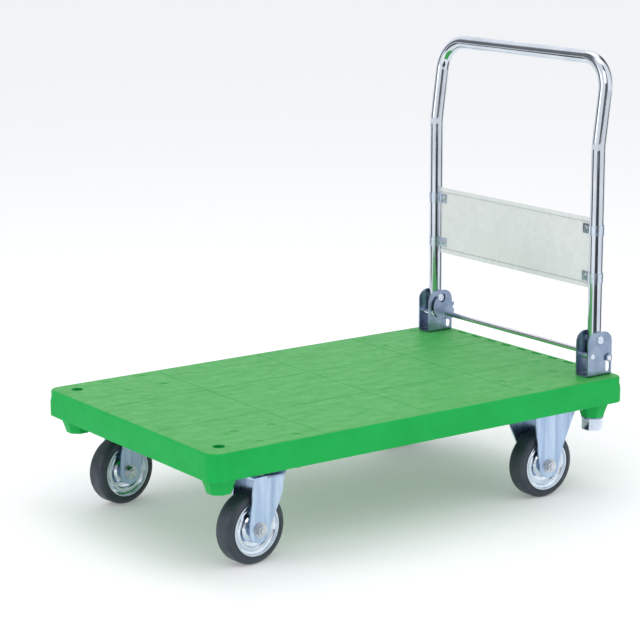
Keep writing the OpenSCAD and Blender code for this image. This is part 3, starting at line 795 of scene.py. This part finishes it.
stand_in(springs, spring_steel, "chassis", "lock_springs")
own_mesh(springs)

# ---- Handle ----
# One length of 25.4 mm steel tube with 1.6 mm walls, bent on rollers to a hoop
# whose upper part leans back, then polished and chromium plated.
tube_low, tube_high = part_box("handle_tube")
tube_wall = 0.0016
tube_r = tube_high.y - boss_y
lean = math.radians(7.5)
lean_r, bend_r, knee_z = 0.120, 0.058, 0.640
lean_tangent = lean_r * math.tan(lean / 2)
lean_z = knee_z - lean_tangent
grip_z = tube_high.z - tube_r
lean_l = (grip_z - knee_z) / math.cos(lean) - lean_tangent


def chromium():
    """Bright chromium plate with the faintest polishing haze."""
    material, tree, shader = shader_of("chrome_tube", {"Metallic": 1.0})
    tint(tree, grain(tree, 18, 4), shader.inputs["Base Color"], (0.56, 0.61, 0.68), (0.70, 0.75, 0.81))
    vary(tree, grain(tree, 90, 4), shader.inputs["Roughness"], 0.05, 0.13)
    relief(tree, shader, grain(tree, 700, 2), 0.00005, 0.12)
    return material


def turn_tube(angle, centre, axis, steps):
    """Bends the tube on from its open ring, by the right hand about the axis."""
    bpy.ops.mesh.spin(steps=steps, angle=-angle, center=centre, axis=axis)


bpy.ops.mesh.primitive_circle_add(vertices=56, radius=tube_r, location=(boss_x, boss_y, tube_low.z))
tube = open_piece("handle_hoop")
up_lean = Vector((math.sin(lean), 0, math.cos(lean)))
out_lean = Vector((math.cos(lean), 0, -math.sin(lean)))
lean_start = Vector((boss_x + lean_r, 0, lean_z)) - lean_r * out_lean
bend_start = lean_start + (lean_l - bend_r) * up_lean
bend_in = Vector((0, boss_y - bend_r, 0))
push((0, 0, lean_z - tube_low.z))
turn_tube(lean, (boss_x + lean_r, boss_y, lean_z), (0, 1, 0), 5)
push((lean_l - bend_r) * up_lean)
turn_tube(math.pi / 2, bend_start + bend_in, out_lean, 18)
push(-2 * bend_in)
turn_tube(math.pi / 2, bend_start - bend_in, out_lean, 18)
push(-(lean_l - bend_r) * up_lean)
turn_tube(-lean, (boss_x + lean_r, -boss_y, lean_z), (0, 1, 0), 5)
push((0, 0, tube_low.z - lean_z))
close_piece()
modify(tube, "SOLIDIFY", thickness=tube_wall, offset=-1)
smooth(tube, 50)
stand_in(tube, chromium(), "handle", "handle_tube")

# ---- Pivot bushes and tube plugs ----
# Steel bushes are welded across the posts and turn on the pivot rivets. Plugs of
# black polyethylene close the ends of the tube.
dress("pivot_bushes", fastener_steel)
black_plastic, black_tree, black_shader = shader_of("black_plastic", {"Roughness": 0.5})
tint(black_tree, grain(black_tree, 80), black_shader.inputs["Base Color"],
     (0.012, 0.012, 0.013), (0.030, 0.030, 0.032))
relief(black_tree, black_shader, grain(black_tree, 700), 0.0001, 0.3)
dress("tube_plugs", black_plastic)

# ---- Name panel ----
# A blank plate of white painted sheet steel, 1.2 mm thick. Its upper and lower
# edges are folded flat against its front, which faces the deck, for stiffness.
panel_low, panel_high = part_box("name_panel")
sheet_t, hem_h = 0.0012, 0.008
panel_x = panel_high.x - sheet_t / 2
panel_mid = (panel_x, 0, (panel_low.z + panel_high.z) / 2)


def white_enamel():
    """White stove enamel, faintly cloudy and with a low orange-peel. A thin grey line of painted shade lies
    along each hem's free edge.
    """
    material, tree, shader = shader_of("white_sheet", {"Roughness": 0.28, "Coat Weight": 0.3})
    ramp = tint(tree, grain(tree, 9, 5, (1, 1, 0.4)), shader.inputs["Base Color"],
                (0.88, 0.86, 0.90), (0.97, 0.94, 0.97))
    place = tree.nodes.new("ShaderNodeTexCoord")
    height = tree.nodes.new("ShaderNodeSeparateXYZ")
    tree.links.new(place.outputs["Object"], height.inputs["Vector"])
    colour = ramp.outputs["Color"]
    # Painted shade: a thin grey line at each hem's free edge, standing for the shadow in the gap under the
    # hem.
    for fold_z in (panel_low.z + hem_h, panel_high.z - hem_h):
        above = tree.nodes.new("ShaderNodeMath")
        above.operation = "SUBTRACT"
        above.inputs[1].default_value = fold_z
        tree.links.new(height.outputs["Z"], above.inputs[0])
        away = tree.nodes.new("ShaderNodeMath")
        away.operation = "ABSOLUTE"
        tree.links.new(above.outputs["Value"], away.inputs[0])
        off_hem_shade, painted_hem_shade, enamel, result = colour_mix(tree)
        painted_hem_shade.default_value = (0.55, 0.57, 0.58, 1)
        tree.links.new(colour, enamel)
        vary(tree, away.outputs["Value"], off_hem_shade, 0.0, 1.0, 0.0004, 0.0012)
        colour = result
    tree.links.new(colour, shader.inputs["Base Color"])
    vary(tree, grain(tree, 40, 3), shader.inputs["Roughness"], 0.20, 0.36)
    relief(tree, shader, grain(tree, 160, 2), 0.0002, 0.35)
    return material


bpy.ops.mesh.primitive_plane_add(size=1, location=panel_mid, rotation=(0, math.pi / 2, 0))
panel = open_piece("name_plate")
bpy.ops.transform.resize(
    value=(1, panel_high.y - panel_low.y, panel_high.z - panel_low.z), center_override=panel_mid)
for sign, edge_z in ((1, panel_high.z), (-1, panel_low.z)):
    choose(panel, "EDGE", lambda e, z=edge_z: all(abs(v.co.z - z) < hair and v.co.x > panel_x - hair
                                                 for v in e.verts))
    push((-sheet_t, 0, 0))
    push((0, 0, -sign * hem_h))
close_piece()
modify(panel, "SOLIDIFY", thickness=sheet_t * 0.97, offset=0, use_even_offset=True)
soften(panel, 0.0003)
clip_low, clip_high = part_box("panel_clips")
clip_h = 0.018
clip_z = [clip_low.z + clip_h / 2, clip_high.z - clip_h / 2]
screw_in, screw_hole_r = 0.013, 0.0026
screw_y = boss_y - tube_r - screw_in
panel_holes = [rod((panel_x, sign * screw_y, z), screw_hole_r, 0.02, "X", 24)
               for sign in (-1, 1) for z in clip_z]
combine(panel, joined(panel_holes), "DIFFERENCE")
smooth(panel)
stand_in(panel, white_enamel(), "handle", "name_panel")

# ---- Panel clips ----
# Four strips of 1.5 mm steel are wrapped round the posts; their ends lie on both
# faces of the panel, where a screw and a nut pinch them together.
clip_t, mouth_l, tab_l = 0.0015, 0.0012, 0.0212
clip_mouth, clip_edge = sheet_t / 2 + 0.0006, sheet_t / 2 + hair
clip_set = []
for sign in SIDES.values():
    for z in clip_z:
        post_at = (boss_x, sign * boss_y, z - clip_h / 2)
        bpy.ops.mesh.primitive_circle_add(vertices=64, radius=tube_r + hair, location=post_at)
        clip = open_piece("clip")
        choose(clip, "VERT", lambda v: (
            sign * (v.co.y - sign * boss_y) < 0 and abs(v.co.x - boss_x) < clip_mouth))
        bpy.ops.mesh.delete(type="VERT")
        shape = bmesh.from_edit_mesh(clip.data)
        tips = [v.co.copy() for v in shape.verts if len(v.link_edges) == 1]
        for tip in tips:
            choose(clip, "VERT", lambda v, tip=tip: (v.co - tip).length < 0.00001)
            aside = (clip_edge if tip.x > boss_x else -clip_edge) - (tip.x - boss_x)
            push((aside, -sign * mouth_l, 0))
            push((0, -sign * tab_l, 0))
        choose_all()
        push((0, 0, clip_h))
        close_piece()
        face_out(clip, Vector((0, sign, 0)))
        modify(clip, "SOLIDIFY", thickness=clip_t - hair, offset=1, use_even_offset=True)
        combine(clip, rod((boss_x, sign * screw_y, z), screw_hole_r, 0.02, "X", 24), "DIFFERENCE")
        soften(clip, 0.0003)
        clip_set.append(clip)
clips = joined(clip_set)
clips.name = "panel_clip_set"
smooth(clips)
stand_in(clips, bright_nut, "handle", "panel_clips")

pinch = 2 * clip_t + sheet_t
screw_r, screw_head_r, clip_nut_h = 0.0025, 0.0046, 0.004
screw_x, screw_l = centre_of("clip_screws").x, span("clip_screws").x
head_in, head_flat = 0.002, 0.52
cross_depth, cross_l, cross_w, cross_out = 0.003, 0.0052, 0.001, 0.0026
screw_set, nut_set = [], []
for sign in SIDES.values():
    for z in clip_z:
        shank = rod((screw_x + head_in / 2, sign * screw_y, z), screw_r, screw_l - head_in, "X", 24)
        seat_at = (boss_x - pinch / 2, sign * screw_y, z)
        bpy.ops.mesh.primitive_uv_sphere_add(
            segments=24, ring_count=12, radius=screw_head_r, location=seat_at)
        head = open_piece("screw_head")
        bpy.ops.mesh.bisect(plane_co=seat_at, plane_no=(1, 0, 0), clear_outer=True, use_fill=True)
        choose_all()
        bpy.ops.transform.resize(value=(head_flat, 1, 1), center_override=seat_at)
        close_piece()
        for size in ((cross_depth, cross_w, cross_l), (cross_depth, cross_l, cross_w)):
            combine(head, block((seat_at[0] - cross_out, sign * screw_y, z), size), "DIFFERENCE")
        screw_set += [shank, head]
        nut_at = (boss_x + pinch / 2 + clip_nut_h / 2, sign * screw_y, z)
        nut_set.append(hexagon("clip_nut", nut_at, screw_head_r, clip_nut_h, "X", screw_r))
screws, clip_nuts = joined(screw_set), joined(nut_set)
screws.name, clip_nuts.name = "clip_screw_set", "clip_nut_set"
for piece, node in ((screws, "clip_screws"), (clip_nuts, "clip_nuts")):
    smooth(piece)
    stand_in(piece, fastener_steel, "handle", node)

# ---- Caster plates, kingpins and races ----
# Each front caster has a square top plate with a ball race pressed below it, and
# turns on a riveted kingpin.
plate_t, plate_corner, plate_hole_r, plate_cut = 0.004, 0.008, 0.0045, 0.03
race_r, kingpin_r = 0.028, 0.006
fork_paint = plated_steel("fork_zinc", (0.34, 0.46, 0.66), (0.58, 0.71, 0.88), 0.24, 0.40, (2.2, 2.2, 0.2))


def caster_plate(name, centre, size):
    """A flat plate with round corners."""
    block(centre, size)
    plate = open_piece(name)
    bevel_edges(plate, plate_corner, 6, lambda e: runs(e, 2))
    close_piece()
    return plate


for side, place, seat in zip(SIDES, swivel_at, seats[:2]):
    low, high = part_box(f"swivel_plate_{side}")
    plate = caster_plate(f"caster_plate_{side}", (place.x, place.y, high.z - plate_t / 2),
                         (high.x - low.x, high.y - low.y, plate_t))
    race_h = high.z - low.z - plate_t + hair
    race = rod((place.x, place.y, low.z + race_h / 2), race_r, race_h, sides=64)
    combine(plate, race, "UNION")
    plate_holes = [rod((x, y, high.z), plate_hole_r, plate_cut, sides=24) for x, y in bolt_places(seat)]
    plate_holes.append(rod((place.x, place.y, high.z), kingpin_r, plate_cut))
    combine(plate, joined(plate_holes), "DIFFERENCE")
    soften(plate, 0.0004)
    smooth(plate)
    stand_in(plate, fork_paint, "chassis", f"swivel_plate_{side}")
    dress(f"kingpin_{side}", fastener_steel)
    dress(f"race_balls_{side}", bright_nut)

# ---- Forks ----
# Pressed from 3 mm steel: a crown or a top plate, and two legs whose lower ends
# are round about the axle. A crease stiffens each leg. Zinc plated.
leg_in, leg_t, leg_end_r, axle_r, wheel_z = 0.024, 0.003, 0.023, 0.006, 0.0625
leg_out = leg_in + leg_t
leg_shoulder, crease_round, pressed_round, axle_cut = 0.0035, 0.004, 0.0013, 0.2


def leg(axle_x, top, crease_x, crease_turn):
    """A fork leg on the -Y side: a round end about the axle, carried up to the points of its top."""
    bpy.ops.mesh.primitive_circle_add(
        vertices=72, radius=leg_end_r, location=(axle_x, -leg_out, wheel_z), rotation=(math.pi / 2, 0, 0))
    piece = open_piece("leg")
    choose(piece, "VERT", lambda v: v.co.z > wheel_z + leg_shoulder)
    bpy.ops.mesh.delete(type="VERT")
    shape = bmesh.from_edit_mesh(piece.data)
    tips = sorted((v.co.copy() for v in shape.verts if len(v.link_edges) == 1), key=lambda p: p.x)
    for tip, path in ((tips[0], top[:1]), (tips[1], top[:0:-1])):
        choose(piece, "VERT", lambda v, tip=tip: (v.co - tip).length < 0.00001)
        here = tip
        for x, z in path:
            there = Vector((x, -leg_out, z))
            push(there - here)
            here = there
    choose_all()
    bpy.ops.mesh.edge_face_add()
    choose_all()
    bpy.ops.mesh.bisect(plane_co=(crease_x, 0, 0), plane_no=(1, 0, 0))
    choose(piece, "VERT", lambda v: v.co.x > crease_x + hair)
    bpy.ops.transform.rotate(
        value=crease_turn, orient_axis="Z", center_override=(crease_x, -leg_out, wheel_z))
    bevel_edges(piece, crease_round, 4, lambda e: abs(middle(e).x - crease_x) < hair and runs(e, 2))
    choose_all()
    shape = bmesh.from_edit_mesh(piece.data)
    shape.faces.ensure_lookup_table()
    if shape.faces[0].normal.y > 0:
        bpy.ops.mesh.flip_normals()
    bpy.ops.object.mode_set(mode="OBJECT")
    modify(piece, "SOLIDIFY", thickness=leg_t, offset=-1)
    return piece


def mirrored(piece):
    """A copy on the other side of the XZ plane."""
    twin = copy_to(piece, "leg", Vector())
    twin.data.transform(Matrix.Scale(-1, 4, (0, 1, 0)))
    twin.data.flip_normals()
    return twin


def press(flat, legs, holes, name, place, turn):
    """One fork: the legs joined to a flat top, bored, its edges rounded, and put in its place."""
    for part in legs:
        combine(flat, part, "UNION")
    combine(flat, joined(holes), "DIFFERENCE")
    soften(flat, pressed_round, 50, 3)
    fork = copy_to(flat, name, Vector((place.x, place.y, 0)), turn)
    bpy.data.objects.remove(flat)
    smooth(fork)
    return fork


crown_t, crown_r, crown_l, crown_x = 0.0035, 0.034, 0.069, -0.0125
crown_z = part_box("swivel_fork_left")[1].z
crown_mid = crown_z - crown_t / 2
trail = 0.036
swivel_turn = {}
for side, place in zip(SIDES, swivel_at):
    spin = next(joint for joint in frame["joints"] if joint["name"] == f"wheel_front_{side}_spin")
    swivel_turn[side] = math.atan2(-spin["axis"][0], spin["axis"][1])
    outline = [(-0.047, crown_z), (0.022, crown_z), (0.017, crown_z - 0.035)]
    near_leg = leg(-trail, outline, -0.012, math.radians(-7))
    far_leg = mirrored(near_leg)
    block((crown_x, 0, crown_mid), (crown_l, 2 * leg_out, crown_t))
    crown = open_piece("crown")
    close_piece()
    combine(crown, rod((0, 0, crown_mid), crown_r, crown_t, sides=72), "UNION")
    crown_holes = [rod((0, 0, crown_z), kingpin_r + hair / 2, plate_cut),
                   rod((-trail, 0, wheel_z), axle_r, axle_cut, "Y")]
    fork = press(crown, (near_leg, far_leg), crown_holes, f"caster_fork_{side}", place, swivel_turn[side])
    stand_in(fork, fork_paint, f"swivel_{side}", f"swivel_fork_{side}")

rigid_plate_l = 0.146
rigid_plate_size = (rigid_plate_l, 0.100, plate_t)
plate_z = seat_z - plate_t
for side, place, seat in zip(SIDES, rigid_at, seats[2:]):
    outline = [(-0.037, plate_z + 0.001), (rigid_plate_l / 2, plate_z + 0.001), (0.035, 0.098)]
    near_leg = leg(0, outline, 0.024, math.radians(-9))
    far_leg = copy_to(near_leg, "leg", Vector(), math.pi)
    plate = caster_plate("rigid_plate", (0, 0, plate_z + plate_t / 2), rigid_plate_size)
    fork_holes = [rod((x - place.x, y - place.y, plate_z), plate_hole_r, plate_cut, sides=24)
                  for x, y in bolt_places(seat)]
    fork_holes.append(rod((0, 0, wheel_z), axle_r, axle_cut, "Y"))
    fork = press(plate, (near_leg, far_leg), fork_holes, f"rigid_caster_{side}", place, 0.0)
    stand_in(fork, fork_paint, "chassis", f"rigid_fork_{side}")

# ---- Axles ----
# An M12 hexagon bolt goes through both legs and the sleeve that the hub turns on;
# a washer and a nut close it on the right.
wheel_at = {}
for side in SIDES:
    wheel_at["front", side] = (centre_of(f"hub_front_{side}"), swivel_turn[side])
    wheel_at["rear", side] = (centre_of(f"hub_rear_{side}"), 0.0)

axle_head_r, axle_head_h = 0.0104, 0.007
axle_nut_h, axle_washer_r, axle_washer_h = 0.007, 0.013, 0.0015
axle_tip = axle_washer_h + axle_nut_h + 0.002
shank = rod((0, -axle_tip / 2, 0), axle_r, 2 * leg_out + axle_tip, "Y")
soften(shank, 0.0012, 60)
axle_head = hexagon("head", (0, leg_out + axle_head_h / 2, 0), axle_head_r, axle_head_h, "Y")
axle_bolt = joined([shank, axle_head])
nut_washer = rod((0, -leg_out - axle_washer_h / 2, 0), axle_washer_r, axle_washer_h, "Y", 64)
combine(nut_washer, rod((0, -leg_out, 0), axle_r, 0.02, "Y"), "DIFFERENCE")
soften(nut_washer, 0.0004)
axle_nut = joined([nut_washer, hexagon(
    "nut", (0, -leg_out - axle_washer_h - axle_nut_h / 2, 0), axle_head_r, axle_nut_h, "Y", axle_r)])
for (end, side), (place, turn) in wheel_at.items():
    body = f"swivel_{side}" if end == "front" else "chassis"
    for shape, kind in ((axle_bolt, "axle"), (axle_nut, "axle_nut")):
        piece = copy_to(shape, f"{kind}_{end}_{side}_turned", place, turn)
        smooth(piece)
        stand_in(piece, fastener_steel, body, f"{end}_{kind}_{side}")
    dress(f"sleeve_{end}_{side}", fastener_steel)
bpy.data.objects.remove(axle_bolt)
bpy.data.objects.remove(axle_nut)

# ---- Wheels ----
# A solid black rubber tyre is moulded on a rim of two pressed steel discs, which
# are spot welded back to back round a turned hub.
wheel_r, wheel_w, rim_r, hub_r, sleeve_r = wheel_z, 0.038, 0.0474, 0.015, 0.01005


def rubber():
    """Black moulded rubber lifted to a bluish slate grey: partly the rubber's own dark grey, partly a
    painted sheen of the light on it.
    """
    material, tree, shader = shader_of("tyre_rubber", {"IOR": 1.5})
    # The bluish slate of this base colour is partly painted sheen.
    tint(tree, grain(tree, 40, 5), shader.inputs["Base Color"], (0.024, 0.036, 0.050), (0.050, 0.066, 0.086))
    vary(tree, grain(tree, 120, 4), shader.inputs["Roughness"], 0.38, 0.58)
    relief(tree, shader, grain(tree, 800, 2), 0.0002, 0.35)
    return material


def from_axle(v):
    """How far a point of a wheel part is from the axle's line."""
    return math.hypot(v.co.x, v.co.z)


def disc(name, radius, bore, width, sides, steps):
    """A bored wheel part about the origin. Each step insets both end faces and moves them outwards."""
    rod((0, 0, 0), radius, width, "Y", sides)
    piece = open_piece(name)
    choose(piece, "FACE", lambda f: abs(f.normal.y) > 0.99)
    for inward, outward in steps:
        bpy.ops.mesh.inset(thickness=inward, depth=outward)
    bpy.ops.mesh.inset(thickness=radius - bore - sum(inward for inward, outward in steps))
    bpy.ops.mesh.delete(type="FACE")
    choose(piece, "EDGE", lambda e: all(from_axle(v) < bore + 2 * hair for v in e.verts))
    bpy.ops.mesh.bridge_edge_loops()
    return piece


tyre_paint = rubber()
tyre_round = 0.0095
tyre = disc("tyre", wheel_r, rim_r, wheel_w, 112, (
    (0.0105, 0), (0.0006, -0.0007), (0.0012, 0), (0.0006, 0.0007)))
bevel_edges(tyre, tyre_round, 8,
            lambda e: not runs(e, 1) and all(from_axle(v) > wheel_r - hair for v in e.verts))
close_piece()

# The steps go from the bead in the tyre, down into the dish and up again to the hub
rim = disc("rim", rim_r, hub_r, wheel_w, 112, (
    (0.0022, 0), (0.0008, -0.0050), (0.0030, -0.0014), (0.0012, -0.0004), (0.0026, 0.0031),
    (0.0040, 0.0004), (0.0022, -0.0045), (0.0064, -0.0010), (0.0032, 0.0036), (0.0042, 0.0018)))
close_piece()
soften(rim, 0.0006, 18, 3)

hub = disc("hub", hub_r, sleeve_r, span("hub_rear_left").y, 64, ((0.0020, 0), (0.0006, -0.0008)))
close_piece()
soften(hub, 0.0004, 30)

rim_paint = plated_steel("rim_steel", (0.62, 0.69, 0.78), (0.80, 0.86, 0.93), 0.09, 0.20)
for (end, side), (place, turn) in wheel_at.items():
    for shape, kind, finish, slot in ((tyre, "tyre", tyre_paint, "tyre_rubber"),
                                      (rim, "rim", rim_paint, "rim_steel"),
                                      (hub, "hub", rim_paint, "rim_steel")):
        piece = copy_to(shape, f"{kind}_{end}_{side}_made", place, turn)
        smooth(piece, 28)
        stand_in(piece, finish, f"wheel_{end}_{side}", f"{kind}_{end}_{side}")
for shape in (tyre, rim, hub):
    bpy.data.objects.remove(shape)
